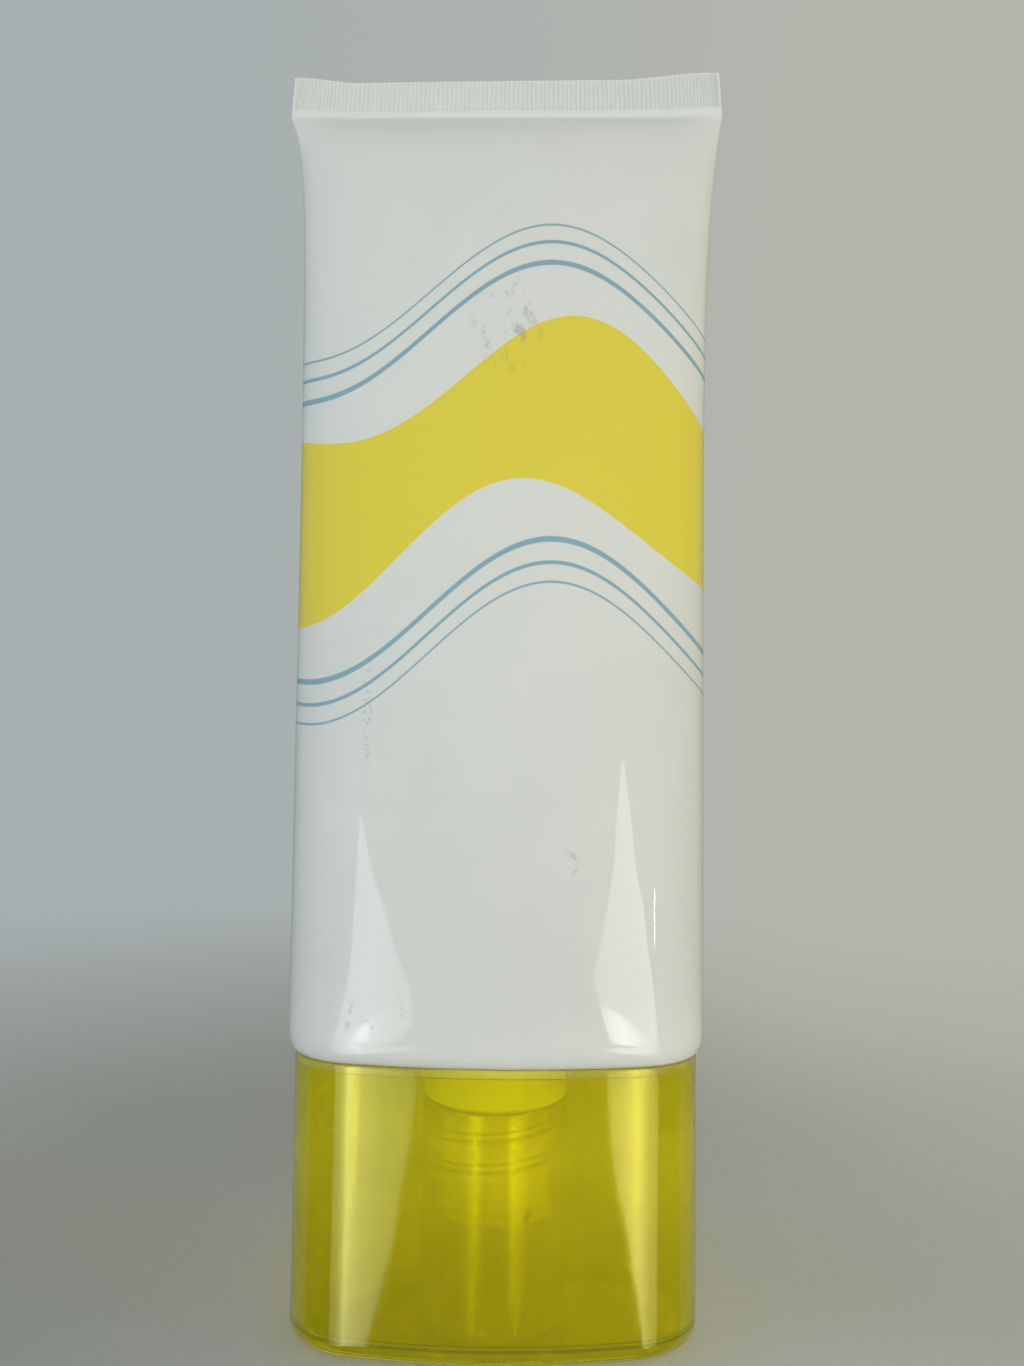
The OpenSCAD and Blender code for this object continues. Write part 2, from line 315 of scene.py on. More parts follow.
def fold_faces(top, steps):
    """Triangles across a flat ring, from each of its points to the point that mirrors it in y.

    The point k of the ring lies opposite the point steps - k, so the strip goes from one end to the other.
    """
    near = np.arange(steps // 2)
    far = (steps - near) % steps
    ahead = np.stack([near, near + 1, steps - near - 1], axis=-1)[:-1]
    behind = np.stack([near, steps - near - 1, far], axis=-1)[1:]
    return top + np.vstack([ahead, behind])


def make_piece(name, rings, first=None, last=None, wrap=False, fold=False, sharp=SHARP_ANGLE):
    """A closed mesh through rings of points, in metres, with a fan to a pole at either end.

    With fold the last ring is closed from side to side instead.
    The enclosed volume, the sum over triangles of corner a times (corner b cross corner c) / 6,
    is made positive, so that all faces point outwards.
    """
    rows, steps = rings.shape[:2]
    points = rings.reshape(-1, 3)
    quads = ring_faces(rows, steps, wrap)
    column = np.arange(steps)
    beside = (column + 1) % steps
    fans = []
    if first is not None:
        fans.append(np.stack([beside, column, np.full(steps, len(points))], axis=-1))
        points = np.vstack([points, first])
    if last is not None:
        top = (rows - 1) * steps
        fans.append(np.stack([top + column, top + beside, np.full(steps, len(points))], axis=-1))
        points = np.vstack([points, last])
    if fold:
        fans.append(fold_faces((rows - 1) * steps, steps))
    triangles = np.vstack([quads[:, [0, 1, 2]], quads[:, [0, 2, 3]]] + fans)
    a, b, c = (points[triangles[:, k]] for k in range(3))
    if np.einsum("ij,ij->i", a, np.cross(b, c)).sum() < 0:
        quads = quads[:, ::-1]
        fans = [fan[:, ::-1] for fan in fans]
    loops = np.concatenate([quads.ravel()] + [fan.ravel() for fan in fans])
    sizes = np.concatenate([np.full(len(quads), 4)] + [np.full(len(fan), 3) for fan in fans])
    mesh = bpy.data.meshes.new(name)
    mesh.vertices.add(len(points))
    mesh.vertices.foreach_set("co", points.ravel())
    mesh.loops.add(len(loops))
    mesh.loops.foreach_set("vertex_index", loops)
    mesh.polygons.add(len(sizes))
    mesh.polygons.foreach_set("loop_start", np.concatenate([[0], np.cumsum(sizes)[:-1]]))
    mesh.polygons.foreach_set("use_smooth", np.ones(len(sizes), bool))
    mesh.update(calc_edges=True)
    mesh.validate()
    mesh.set_sharp_from_angle(angle=sharp)
    piece = bpy.data.objects.new(name, mesh)
    bpy.context.scene.collection.objects.link(piece)
    return piece


def mark(piece, name, values):
    """Keeps a value for each ring point of a piece under a name that its finish reads; poles get 0."""
    kept = np.zeros(len(piece.data.vertices))
    kept[:values.size] = values.ravel()
    piece.data.attributes.new(name, "FLOAT", "POINT").data.foreach_set("value", kept)


def dress(piece, body, nodes, finish):
    """Puts the finish on a new piece, hangs it on the empty of the body that carries it and hides the CAD
    nodes that it stands for.
    """
    piece.data.materials.append(finish)
    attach(piece, body)
    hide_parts(*nodes)


def thread_ridge(angle, z, start_z, pitch, first_turn, last_turn):
    """Height of a right-hand thread ridge, from 0 to 1.

    The ridge's middle rises by the pitch in each turn. Across it the height is a rounded trapezoid,
    and it runs in and out smoothly over an eighth of a turn.
    """
    turns = (z - start_z) / pitch
    nearest = np.round(turns - angle / FULL_TURN)
    along = angle / FULL_TURN + nearest
    off = np.abs(turns - along) * pitch / THREAD_HALF_WIDTH
    across = 1 - smooth_step(0.35, 1, off)
    run_in = smooth_step(first_turn, first_turn + THREAD_RUN_OUT, along)
    run_out = 1 - smooth_step(last_turn - THREAD_RUN_OUT, last_turn, along)
    return across * (run_in * run_out)


# Shader wiring


class Wire:
    """A shader socket. Arithmetic on it adds Math nodes to its tree."""

    def __init__(self, bench, socket):
        self.bench = bench
        self.socket = socket

    def __add__(self, other):
        return self.bench.math("ADD", self, other)

    __radd__ = __add__

    def __sub__(self, other):
        return self.bench.math("SUBTRACT", self, other)

    def __rsub__(self, other):
        return self.bench.math("SUBTRACT", other, self)

    def __mul__(self, other):
        return self.bench.math("MULTIPLY", self, other)

    __rmul__ = __mul__

    def __truediv__(self, other):
        return self.bench.math("DIVIDE", self, other)


class Bench:
    """Wires up one node tree."""

    def __init__(self, owner):
        owner.use_nodes = True
        self.owner = owner
        self.tree = owner.node_tree
        self.tree.nodes.clear()

    def node(self, kind, settings=None, inputs=None, output=0):
        """Adds a node: its settings first, then the values or links of its sockets."""
        made = self.tree.nodes.new(kind)
        for key, value in (settings or {}).items():
            if key == "stops":
                for stop, (place, tint) in zip(self.stops_of(made, len(value)), value):
                    stop.position = place
                    stop.color = (*tint, 1)
            else:
                setattr(made, key, value)
        for key, value in (inputs or {}).items():
            if isinstance(value, Wire):
                self.tree.links.new(value.socket, made.inputs[key])
            else:
                made.inputs[key].default_value = value
        return Wire(self, made.outputs[output]) if made.outputs else made

    def stops_of(self, ramp, count):
        """The ramp's colour stops, made as many as asked for."""
        stops = ramp.color_ramp.elements
        while len(stops) < count:
            stops.new(1)
        return stops

    def math(self, operation, *values):
        """A Math node."""
        return self.node("ShaderNodeMath", {"operation": operation}, dict(enumerate(values)))

    def sine(self, value):
        """Sine of a value in radians."""
        return self.math("SINE", value)

    def size_of(self, value):
        """The value without its sign."""
        return self.math("ABSOLUTE", value)

    def ramp(self, value, low, high):
        """Smooth step from 0 to 1 between two numbers; falling where low is the larger one."""
        falls = low > high
        return self.node("ShaderNodeMapRange", {"interpolation_type": "SMOOTHSTEP"}, {
            "Value": value, "From Min": min(low, high), "From Max": max(low, high),
            "To Min": float(falls), "To Max": float(not falls)})

    def mix(self, factor, a, b):
        """Mix of two colours."""
        a, b = (tint if isinstance(tint, Wire) else (*tint, 1) for tint in (a, b))
        return self.node("ShaderNodeMix", {"data_type": "RGBA"}, {0: factor, 6: a, 7: b}, output=2)

    def where(self):
        """Object coordinates as a vector in metres."""
        return self.node("ShaderNodeTexCoord", output=3)

    def place(self):
        """Object coordinates: the vector, then x, y and z in metres."""
        where = self.where()
        split = self.node("ShaderNodeSeparateXYZ", inputs={0: where})
        outputs = split.socket.node.outputs
        return (where, *[Wire(self, outputs[k]) for k in range(3)])

    def marked(self, name):
        """A value kept on the piece's points."""
        return self.node("ShaderNodeAttribute", {"attribute_name": name}, output=2)

    def stretch(self, vector, scale):
        """Coordinates scaled apart along the axes."""
        return self.node("ShaderNodeMapping", {"vector_type": "POINT"}, {"Vector": vector, "Scale": scale})

    def from_axis(self, x, y):
        """Distance from the Z axis."""
        return self.math("SQRT", x * x + y * y)

    def noise(self, vector, grain, detail=2.0, rough=0.5, warp=0.0):
        """Noise from 0 to 1 whose grain is given in metres."""
        return self.node(
            "ShaderNodeTexNoise", {"noise_dimensions": "3D"},
            {"Vector": vector, "Scale": 1 / grain, "Detail": detail, "Roughness": rough,
             "Distortion": warp})

    def bump(self, height, strength, distance):
        """Normal of a height from 0 to 1 that stands for the given distance."""
        return self.node(
            "ShaderNodeBump", inputs={"Height": height, "Strength": strength, "Distance": distance})

    def principled(self, **inputs):
        """Principled shader with these sockets, an underscore standing for a blank."""
        named = {key.replace("_", " "): value for key, value in inputs.items()}
        return self.node("ShaderNodeBsdfPrincipled", inputs=named)

    def finish(self, shader):
        """Puts the shader on the output and returns the material."""
        self.node("ShaderNodeOutputMaterial", inputs={"Surface": shader})
        return self.owner

    def surface(self, **inputs):
        """A material that is one principled shader."""
        return self.finish(self.principled(**inputs))

    def lets_lamps_through(self, shader, tint):
        """A material whose shadow is see-through and tinted."""
        return self.finish(self.either(self.path("Is Shadow Ray"), shader, self.clear(tint)))

    def clear(self, tint=(1, 1, 1)):
        """See-through shader."""
        return self.node("ShaderNodeBsdfTransparent", inputs={"Color": (*tint, 1)})

    def either(self, factor, a, b):
        """Mix of two shaders."""
        return self.node("ShaderNodeMixShader", inputs={0: factor, 1: a, 2: b})

    def path(self, output):
        """A value of the light path."""
        made = self.node("ShaderNodeLightPath")
        return Wire(self, made.socket.node.outputs[output])

    def was_mirrored(self):
        """1 on a path that has met a mirroring surface, else 0."""
        return self.math("GREATER_THAN", self.path("Glossy Depth"), 0.5)


def new_finish(name):
    """An empty node material and the bench to wire it on."""
    return Bench(bpy.data.materials.new(name))


# Finishes


def cap_finish(colours):
    """Yellow plastic that is half clear and half clouded, glossy outside.

    Its inner gloss is tinted like the plastic, and lamps shine through it in the plastic's colour.
    Its colour holds painted light: painted shade towards the bottom, a painted dark line at the height
    of the inside of the flat end and a painted highlight on the lip.
    """
    bench = new_finish("cap_plastic")
    where, x, y, z = bench.place()
    cloud = bench.noise(where, 9 * MM, detail=3)
    fine = bench.noise(where, 0.5 * MM, detail=4, rough=0.6)
    rubs = bench.noise(bench.stretch(where, (1, 1, 0.3)), 0.7 * MM, detail=5, rough=0.75)
    # deeper is a random tone of the plastic and bright the socket's tone. shade, line and pale are painted
    # light: painted shade, a painted dark line and a painted highlight; line also colours the smear, which
    # is dirt.
    deeper = shaded(colours.cap, (0.94, 0.925, 0.8))
    shade = shaded(colours.cap, (0.73, 0.715, 0.5))
    line = shaded(colours.cap, (0.34, 0.40, 0.9))
    pale = shaded(colours.cap, (1.15, 1.15, 11))
    bright = shaded(colours.cap, (0.97, 0.96, 1.1))
    tint = bench.mix(bench.ramp(cloud, 0.3, 0.7), tuple(colours.cap), deeper)
    floor_z, smear_x, smear_z = 2.5 * MM, 4.2 * MM, 18.4 * MM
    outside = bench.ramp(bench.from_axis(x, y), 9.6 * MM, 10.0 * MM)
    # Within 9.6 mm of the axis the socket takes the tone bright: a little darker in red and green and bluer
    # than the wall.
    tint = bench.mix(outside, bright, tint)
    # Painted shade: the plastic is painted darker towards the bottom, from 29 mm down to 9 mm.
    tint = bench.mix(bench.ramp(z, 29 * MM, 9 * MM), tint, shade)
    # Painted shade: a dark line painted 2.5 mm up, at the height of the inside of the flat end.
    tint = bench.mix(bench.ramp(bench.size_of(z - floor_z), 0.30 * MM, 0.12 * MM) * 0.85, tint, line)
    # Painted highlight: the top of the lip, from 34.6 mm up, is painted paler and whiter.
    tint = bench.mix(bench.ramp(z, 34.6 * MM, 35.7 * MM) * 0.6, tint, pale)
    above = z - smear_z
    aside = (x - above * 0.5 - smear_x) / (0.4 * MM)
    front = bench.ramp(y, 0.0, -4 * MM)
    smear = bench.ramp(aside * aside + (above / MM) * (above / MM), 1.0, 0.2) * front
    tint = bench.mix(smear * bench.ramp(fine, 0.38, 0.5) * 0.5, tint, line)
    plastic = bench.principled(
        Base_Color=tint,
        Roughness=0.13 - 0.06 * outside + 0.03 * fine,
        IOR=1.49,
        Transmission_Weight=0.78,
        Specular_Tint=(1.0, 0.92, 0.2, 1.0),
        Coat_Weight=1.0 - (0.55 + 0.25 * bench.ramp(rubs, 0.5, 0.72)) * outside,
        Coat_Roughness=0.035,
        Coat_IOR=1.5,
        Normal=bench.bump(cloud + 0.03 * fine, 0.12, 0.25 * MM),
    )
    return bench.lets_lamps_through(plastic, (1.0, 0.95, 0.35))


def print_masks(bench, x, z):
    """Where the wave band and the fine blue lines lie, each from 0 to 1.

    The band's middle line is a sine wave along x, and its half width follows a second sine.
    The lines keep their distance from the middle line, apart from a small share of the wave.
    """
    wave_length, wave_height, middle = 62 * MM, 8.5 * MM, 112 * MM
    swell_length, swell_height, half_width = 47 * MM, 2.4 * MM, 10.5 * MM
    soft = 0.10 * MM
    wave = bench.sine(x * (FULL_TURN / wave_length) + 0.9)
    swell = bench.sine(x * (FULL_TURN / swell_length) - 0.6)
    off = z - (wave * wave_height + middle)
    half = swell * swell_height + half_width
    band = bench.ramp(bench.size_of(off) - half, soft, -soft)
    lines = None
    for distance, width in PRINT_LINES:
        near = bench.size_of(off - wave * (0.6 * MM) - distance * MM)
        mask = bench.ramp(near - width * MM / 2, soft, -soft)
        lines = mask if lines is None else bench.math("MAXIMUM", lines, mask)
    return band, lines


def sleeve_finish(colours):
    """Soft white plastic with a printed wave band, fine lines, scuffs and rubbed-in dirt, and painted light
    on the pressed end: painted highlights on it, its studs and its bar, and painted shade in its grooves.
    """
    bench = new_finish("sleeve_plastic")
    where, x, y, z = bench.place()
    band, lines = print_masks(bench, x, z)
    below_seal = bench.ramp(z, 161 * MM, 159 * MM)
    cloud = bench.noise(where, 14 * MM, detail=3)
    fine = bench.noise(where, 0.45 * MM, detail=3)
    rub = bench.noise(bench.stretch(where, (1, 1, 0.5)), 1.6 * MM, detail=5, rough=0.7)
    clouded = shaded(colours.sleeve, (0.965, 0.97, 0.975))
    white = bench.mix(bench.ramp(cloud, 0.25, 0.75), tuple(colours.sleeve), clouded)
    worn = bench.ramp(rub, 0.74, 0.68)
    inked = bench.mix(band * below_seal * (0.9 + 0.1 * worn), white, tuple(colours.band))
    inked = bench.mix(lines * below_seal * (0.55 + 0.4 * worn), inked, tuple(colours.line))
    front = bench.ramp(y, 0.0, -4 * MM)
    dirt = None
    spots = [(rub, *spot) for spot in RUBBED_SPOTS] + [(fine, *spot) for spot in FINE_SPOTS]
    for grain, spot_x, spot_z, wide, high, low in spots:
        aside = (x - spot_x * MM) / (wide * MM)
        above = (z - spot_z * MM) / (high * MM)
        spot = bench.ramp(aside * aside + above * above, 1.0, 0.15)
        patch = spot * bench.ramp(grain, low, low + 0.12)
        dirt = patch if dirt is None else bench.math("MAXIMUM", dirt, patch)
    pale = shaded(colours.sleeve, (1.09, 1.10, 1.13))
    groove_shade = shaded(colours.sleeve, (0.90, 0.91, 0.91))
    # Painted highlight: the pressed end, from 162.4 mm up, is painted paler.
    inked = bench.mix(bench.ramp(z, 162.4 * MM, 163.6 * MM) * 0.5, inked, pale)
    # Painted shade: the grooves in the pressed end are painted darker.
    inked = bench.mix(bench.marked("groove") * 0.7, inked, groove_shade)
    # Painted highlight on the studs and the smooth bar, from the gleam value kept on the points.
    inked = bench.mix(bench.marked("gleam"), inked, pale)
    tint = bench.mix(dirt * front * 0.45, inked, tuple(colours.scuff))
    ripple = bench.noise(bench.stretch(where, (0.35, 1, 1)), 0.5 * MM, detail=2)
    height = cloud + 0.045 * ripple + 0.02 * lines
    return bench.surface(
        Base_Color=tint,
        Roughness=0.42 + 0.08 * fine + 0.2 * dirt * front - 0.04 * band,
        IOR=1.5,
        Specular_IOR_Level=0.4,
        Subsurface_Weight=0.12,
        Subsurface_Radius=(1.0, 1.0, 0.9),
        Subsurface_Scale=1.2 * MM,
        Coat_Weight=0.85 - 0.4 * dirt * front,
        Coat_Roughness=0.03,
        Normal=bench.bump(height, 0.25, 0.12 * MM),
    )


def head_finish(colours):
    """White moulded plastic with a faint satin grain."""
    bench = new_finish("head_plastic")
    where = bench.where()
    cloud = bench.noise(where, 6 * MM, detail=3)
    fine = bench.noise(where, 0.3 * MM, detail=4, rough=0.6)
    shade = shaded(colours.head, (0.95, 0.95, 0.95))
    tint = bench.mix(bench.ramp(cloud, 0.3, 0.7), tuple(colours.head), shade)
    return bench.surface(
        Base_Color=tint,
        Roughness=0.32 + 0.12 * fine,
        IOR=1.5,
        Subsurface_Weight=0.1,
        Subsurface_Radius=(1.0, 1.0, 0.9),
        Subsurface_Scale=1.0 * MM,
        Normal=bench.bump(fine, 0.2, 0.05 * MM),
    )


def wad_finish(colours):
    """White foam: small closed cells and a pressed skin."""
    bench = new_finish("wad_foam")
    where = bench.where()
    cells = bench.node(
        "ShaderNodeTexVoronoi", {"feature": "F1"}, {"Vector": where, "Scale": 1 / (0.35 * MM)})
    shade = shaded(colours.wad, (0.8, 0.8, 0.8))
    # Painted shade: the cells are painted darker at their middles, where the bump sinks them.
    tint = bench.mix(bench.ramp(cells, 0.0, 0.6), shade, tuple(colours.wad))
    return bench.surface(
        Base_Color=tint,
        Roughness=0.75 + 0.1 * cells,
        Normal=bench.bump(cells, 0.6, 0.12 * MM),
    )


def cream_finish(colours):
    """Thick pale cream with soft folds and a wet gloss."""
    bench = new_finish("cream")
    where = bench.where()
    folds = bench.noise(bench.stretch(where, (1, 1, 0.4)), 7 * MM, detail=4, warp=0.6)
    shade = shaded(colours.cream, (0.97, 0.95, 0.9))
    tint = bench.mix(bench.ramp(folds, 0.3, 0.7), tuple(colours.cream), shade)
    return bench.surface(
        Base_Color=tint,
        Roughness=0.25 + 0.15 * folds,
        Subsurface_Weight=0.3,
        Subsurface_Radius=(1.0, 0.9, 0.7),
        Subsurface_Scale=2 * MM,
        Normal=bench.bump(folds, 0.5, 0.4 * MM),
    )


# Pieces


def cap_rings(cap, head):
    """The cap's surface as one profile carried round by equal turns.

    It runs from the gate recess over the flat end, the edge radius and the wall to the lip,
    down inside, over the inside of the flat end to the round socket, up it, through the threaded bore
    to the ledge and down the lower bore. The ovals become circles over the flat parts.
    """
    angle = rays(CAP_STEPS)
    outside = Oval(cap.width / 2, cap.depth / 2, END_SHARE * cap.depth / 2)
    socket = cap.socket_diameter / 2
    bore = cap.socket_bore / 2
    tiny = 0.15 * MM
    gate = cap.gate_diameter / 2

    def oval(inset, z):
        return outside.inset(inset).reach(angle), z

    def inner(inset, z):
        return np.maximum(outside.inset(inset).reach(angle), socket + 0.02 * MM), z

    rows = [(gate * 0.5, cap.gate_depth), (gate - tiny, cap.gate_depth), (gate, cap.gate_depth - tiny),
            (gate, tiny), (gate + tiny, 0.0)]
    flat = outside.inset(cap.edge_radius + MM).reach(angle)
    rows += [(gate + tiny + (flat - gate - tiny) * part, 0.0) for part in (0.35, 0.7, 1.0)]
    rows += [oval(cap.edge_radius * (1 - s), cap.edge_radius * c) for s, c in quarter_round(12)]
    rows += [oval(0.0, z) for z in np.linspace(cap.edge_radius + tiny, cap.height - 2 * tiny, 8)]
    rows += [oval(0.0, cap.height - tiny)]
    rows += [oval(tiny * c, cap.height - tiny * (1 - s)) for s, c in quarter_round(3)[1:]]
    lip = cap.wall - cap.lip_step
    lip_z = cap.height - cap.lip_height
    rows += [oval(lip - tiny, cap.height), oval(lip, cap.height - tiny), oval(lip, lip_z)]
    rows += [oval(cap.wall - tiny, lip_z), oval(cap.wall, lip_z - tiny)]
    rows += [inner(cap.wall, z) for z in np.linspace(lip_z - tiny, cap.floor + cap.inner_radius, 6)[1:]]
    rows += [inner(cap.wall + cap.inner_radius * c, cap.floor + cap.inner_radius * (1 - s))
             for s, c in quarter_round(5)[1:]]
    rows += [(socket, cap.floor)]
    rows += [(socket, z) for z in np.linspace(cap.floor, cap.mouth_z - tiny, 6)[1:]]
    rows += [(socket - tiny, cap.mouth_z), (bore + cap.mouth_chamfer, cap.mouth_z)]
    for z in np.linspace(cap.mouth_z - cap.mouth_chamfer, cap.ledge_z, THREAD_ROWS):
        ridge = thread_ridge(angle, z, THREAD_Z + head.pitch / 2, head.pitch, *SOCKET_TURNS)
        rows.append((bore - cap.ridge_height * ridge, z))
    rows += [(cap.lower_bore / 2 + tiny, cap.ledge_z), (cap.lower_bore / 2, cap.ledge_z - tiny)]
    rows += [(cap.lower_bore / 2, z) for z in (cap.ledge_z / 2, cap.floor + 2 * tiny)]
    rows += [(cap.lower_bore / 2 - 2 * tiny, cap.floor), (cap.lower_bore / 4, cap.floor)]
    return polar_rings(angle, rows)


def head_rings(head, sleeve):
    """The moulded head as one profile that closes on itself round the channel.

    It runs from the orifice over the land, up the threaded neck to the stop collar, under the shoulder
    plate, up the hem and skirt inside the sleeve, back down inside it and down the channel.
    """
    angle = rays(HEAD_STEPS)
    body = Oval(sleeve.width / 2, sleeve.depth / 2, END_SHARE * sleeve.depth / 2)
    tiny = 0.25 * MM
    neck = head.neck_diameter / 2
    collar = head.collar_diameter / 2
    bore = head.neck_bore / 2
    gap = sleeve.wall + 0.1 * MM
    plate_top = head.shoulder_z + head.shoulder_thickness

    def oval(inset, z):
        return body.inset(inset).reach(angle), z

    rows = [(head.orifice / 2, head.land_z + tiny), (head.orifice / 2 + tiny, head.land_z)]
    rows += [(neck - 2 * tiny, head.land_z), (neck, head.land_z + 2 * tiny)]
    for z in np.linspace(head.land_z + 3 * tiny, head.collar_z - tiny, THREAD_ROWS):
        ridge = thread_ridge(angle, z, THREAD_Z, head.pitch, *NECK_TURNS)
        rows.append((neck + head.ridge_height * ridge, z))
    rows += [(neck + tiny, head.collar_z), (collar - tiny, head.collar_z), (collar, head.collar_z + tiny)]
    rows += [(collar, z) for z in np.linspace(head.collar_z + tiny, head.shoulder_z - tiny, 4)[1:]]
    rows += [(collar + tiny, head.shoulder_z)]
    edge = body.inset(sleeve.hem_in + gap).reach(angle)
    rows += [(collar + tiny + (edge - collar - tiny) * part, head.shoulder_z) for part in (0.35, 0.7)]
    rows += [oval(sleeve.hem_in * (1 - s) + gap, head.shoulder_z + sleeve.hem_height * c)
             for s, c in quarter_round(7)]
    outer = gap + 0.1 * MM
    rows += [oval(outer, head.skirt_top - tiny), oval(outer + tiny, head.skirt_top)]
    rows += [oval(gap + head.skirt_thickness - tiny, head.skirt_top),
             oval(gap + head.skirt_thickness, head.skirt_top - tiny),
             oval(gap + head.skirt_thickness, plate_top + tiny),
             oval(gap + head.skirt_thickness + tiny, plate_top)]
    funnel = bore + head.shoulder_thickness
    inner = body.inset(gap + head.skirt_thickness + tiny).reach(angle)
    rows += [(funnel + (inner - funnel) * part, plate_top) for part in (0.6, 0.3, 0.0)]
    rows += [(bore, head.shoulder_z), (bore, (head.shoulder_z + head.land_z) / 2)]
    land_top = head.land_z + head.land_thickness
    rows += [(bore, land_top), (head.orifice / 2, land_top)]
    return polar_rings(angle, rows)


def flare(t, right):
    """Share of the widening towards the seal: t^7.5 on the right, 0.4 t^6 + 0.6 t^30 on the left."""
    left_share = EARLY_SHARE * t ** FLARE_EARLY + (1 - EARLY_SHARE) * t ** FLARE_LATE
    return right * t ** FLARE_RIGHT + (1 - right) * left_share


def body_section(ux, uy, half_width, half_depth, lens):
    """A section of the soft body: x is stretched, y goes from the oval to the lens sqrt(1 - x^2)."""
    round_y = np.sign(uy) * np.sqrt(np.maximum(0, 1 - ux ** 2))
    return half_width * ux, half_depth * ((1 - lens) * uy + lens * round_y)


def sleeve_rings(sleeve):
    """The sleeve as one sheet that turns round its lower edge: up outside, and the wall's thickness inside.

    At the share t of the body's height the half width is a + (seal - a) flare(t), the half depth
    s + (b - s)(1 - t^3)^0.8, and the section goes from the oval to a lens and flat at the seal.
    Just under the seal the body swells by the share s exp(1 - s), with s the distance from the seal
    over the swell's run. The pressed end rises to ears at its corners. It has ribs that follow the sheet
    and a row of small studs above a smooth bar. Returned with the rings are two values a point, each from
    0 to 1: how deep it lies in a groove, painted as shade, and how far it stands out as a stud, with a
            strip
    along the smooth bar, painted as a highlight.
    """
    half_width, half_depth = sleeve.width / 2, sleeve.depth / 2
    seal_half, seal_thick = sleeve.seal_width / 2, sleeve.seal_thickness / 2
    oval = Oval(half_width, half_depth, END_SHARE * half_depth)
    steps = RIB_STEPS * RIBS_ROUND
    ux, uy = oval.even_points(steps)
    side = np.sign(uy)
    seal_z = sleeve.bottom_z + sleeve.body_height
    rise = sleeve.body_height - sleeve.hem_height
    flat = 1 - smooth_step(EAR_START, EAR_END, np.abs(ux))
    to_right = smooth_step(-0.5, 0.5, ux)
    skew_low = sleeve.seal_skew * (1 - ux) / 2
    start_z = seal_z - skew_low - sleeve.seal_sag * flat
    dip = 1 - smooth_step(*LEFT_DIP_END, -ux) - smooth_step(*RIGHT_DIP_END, ux)
    cut_z = seal_z + sleeve.seal_height - sleeve.cut_skew * (1 - ux) / 2 - sleeve.cut_dip * dip

    def hem(q, inset):
        draw_in = sleeve.hem_in * (1 - math.sin(q)) + inset
        x = (half_width - draw_in) * ux
        y = (half_depth - draw_in) * uy
        z = sleeve.bottom_z + sleeve.hem_height * (1 - math.cos(q))
        return np.stack([x, y, np.full(steps, z)], -1)

    def body(t, inset):
        wide = half_width + (seal_half - half_width) * flare(t, to_right) - inset
        deep = seal_thick + (half_depth - seal_thick) * (1 - t ** THIN_POWER) ** THIN_ROUND - inset
        x, y = body_section(ux, uy, wide, deep, LENS_MOST * math.sin(math.pi * t))
        away = (1 - t) * rise / sleeve.swell_run
        more = sleeve.swell * away * math.exp(1 - away)
        y = y + side * more * (1 - np.abs(ux) ** SWELL_EDGE) * (1 - SWELL_LESS * smooth_step(0.1, 0.8, ux))
        z = sleeve.bottom_z + sleeve.hem_height + rise * t
        sag = seal_z - start_z - skew_low
        drop = skew_low * smooth_step(0.75, 1.0, t) + sag * smooth_step(0.9, 1.0, t)
        return np.stack([x, y, z - drop], -1)

    ribs = 0.5 - 0.5 * np.cos(np.arange(steps) * (FULL_TURN / RIB_STEPS))
    ribs = ribs * (0.75 + 0.25 * smooth_step(-0.3, 0.6, ux))
    studs = 0.5 + 0.5 * np.cos(seal_half * ux * (FULL_TURN / sleeve.stud_pitch))
    on_face = smooth_step(0.004, 0.02, 1 - np.abs(ux))

    def groove(v):
        return ribs * on_face * smooth_step(*RIBS_START, v) * (1 - smooth_step(*RIBS_END, v))

    def stud(v):
        return studs ** 2 * on_face * flat * math.exp(-((v - STUD_ROW) / STUD_SPREAD) ** 2)

    def seal(v):
        x = (seal_half - sleeve.seal_taper * v) * ux
        depth = np.minimum(sleeve.rib_depth * groove(v), 0.6 * seal_thick) - sleeve.stud_height * stud(v)
        return np.stack([x, seal_thick * uy - side * depth, start_z + (cut_z - start_z) * v], -1)

    quarter = np.linspace(0, math.pi / 2, 8)
    up = np.append(0, 1 - (1 - np.linspace(0.003, 1, 34)) ** 1.4)
    rings = [body(t, sleeve.wall) for t in np.linspace(0.96, 0.0, 9)]
    rings += [hem(q, sleeve.wall) for q in quarter[-2::-2]]
    rings += [hem(0.0, sleeve.wall)]
    rings += [hem(q, 0.0) for q in quarter[:-1]]
    rings += [body(t, 0.0) for t in up]
    below = len(rings)
    across = np.concatenate([np.linspace(0, 0.3, 16)[1:], np.linspace(0.3, 1, 17)[1:]])
    rings = np.stack(rings + [seal(v) for v in across])
    bare = np.zeros((below, steps))
    # Painted highlight along the smooth bar at the foot of the pressed end; the bar is not raised.
    bar = BAR_GLEAM * smooth_step(0.0, 0.03, across) * (1 - smooth_step(0.10, 0.15, across))
    grooves = np.vstack([bare, [groove(v) for v in across]])
    gleams = np.vstack([bare, [stud(v) for v in across] + bar[:, None]])
    return rings, rings[0].mean(axis=0), grooves, np.minimum(gleams, 1)


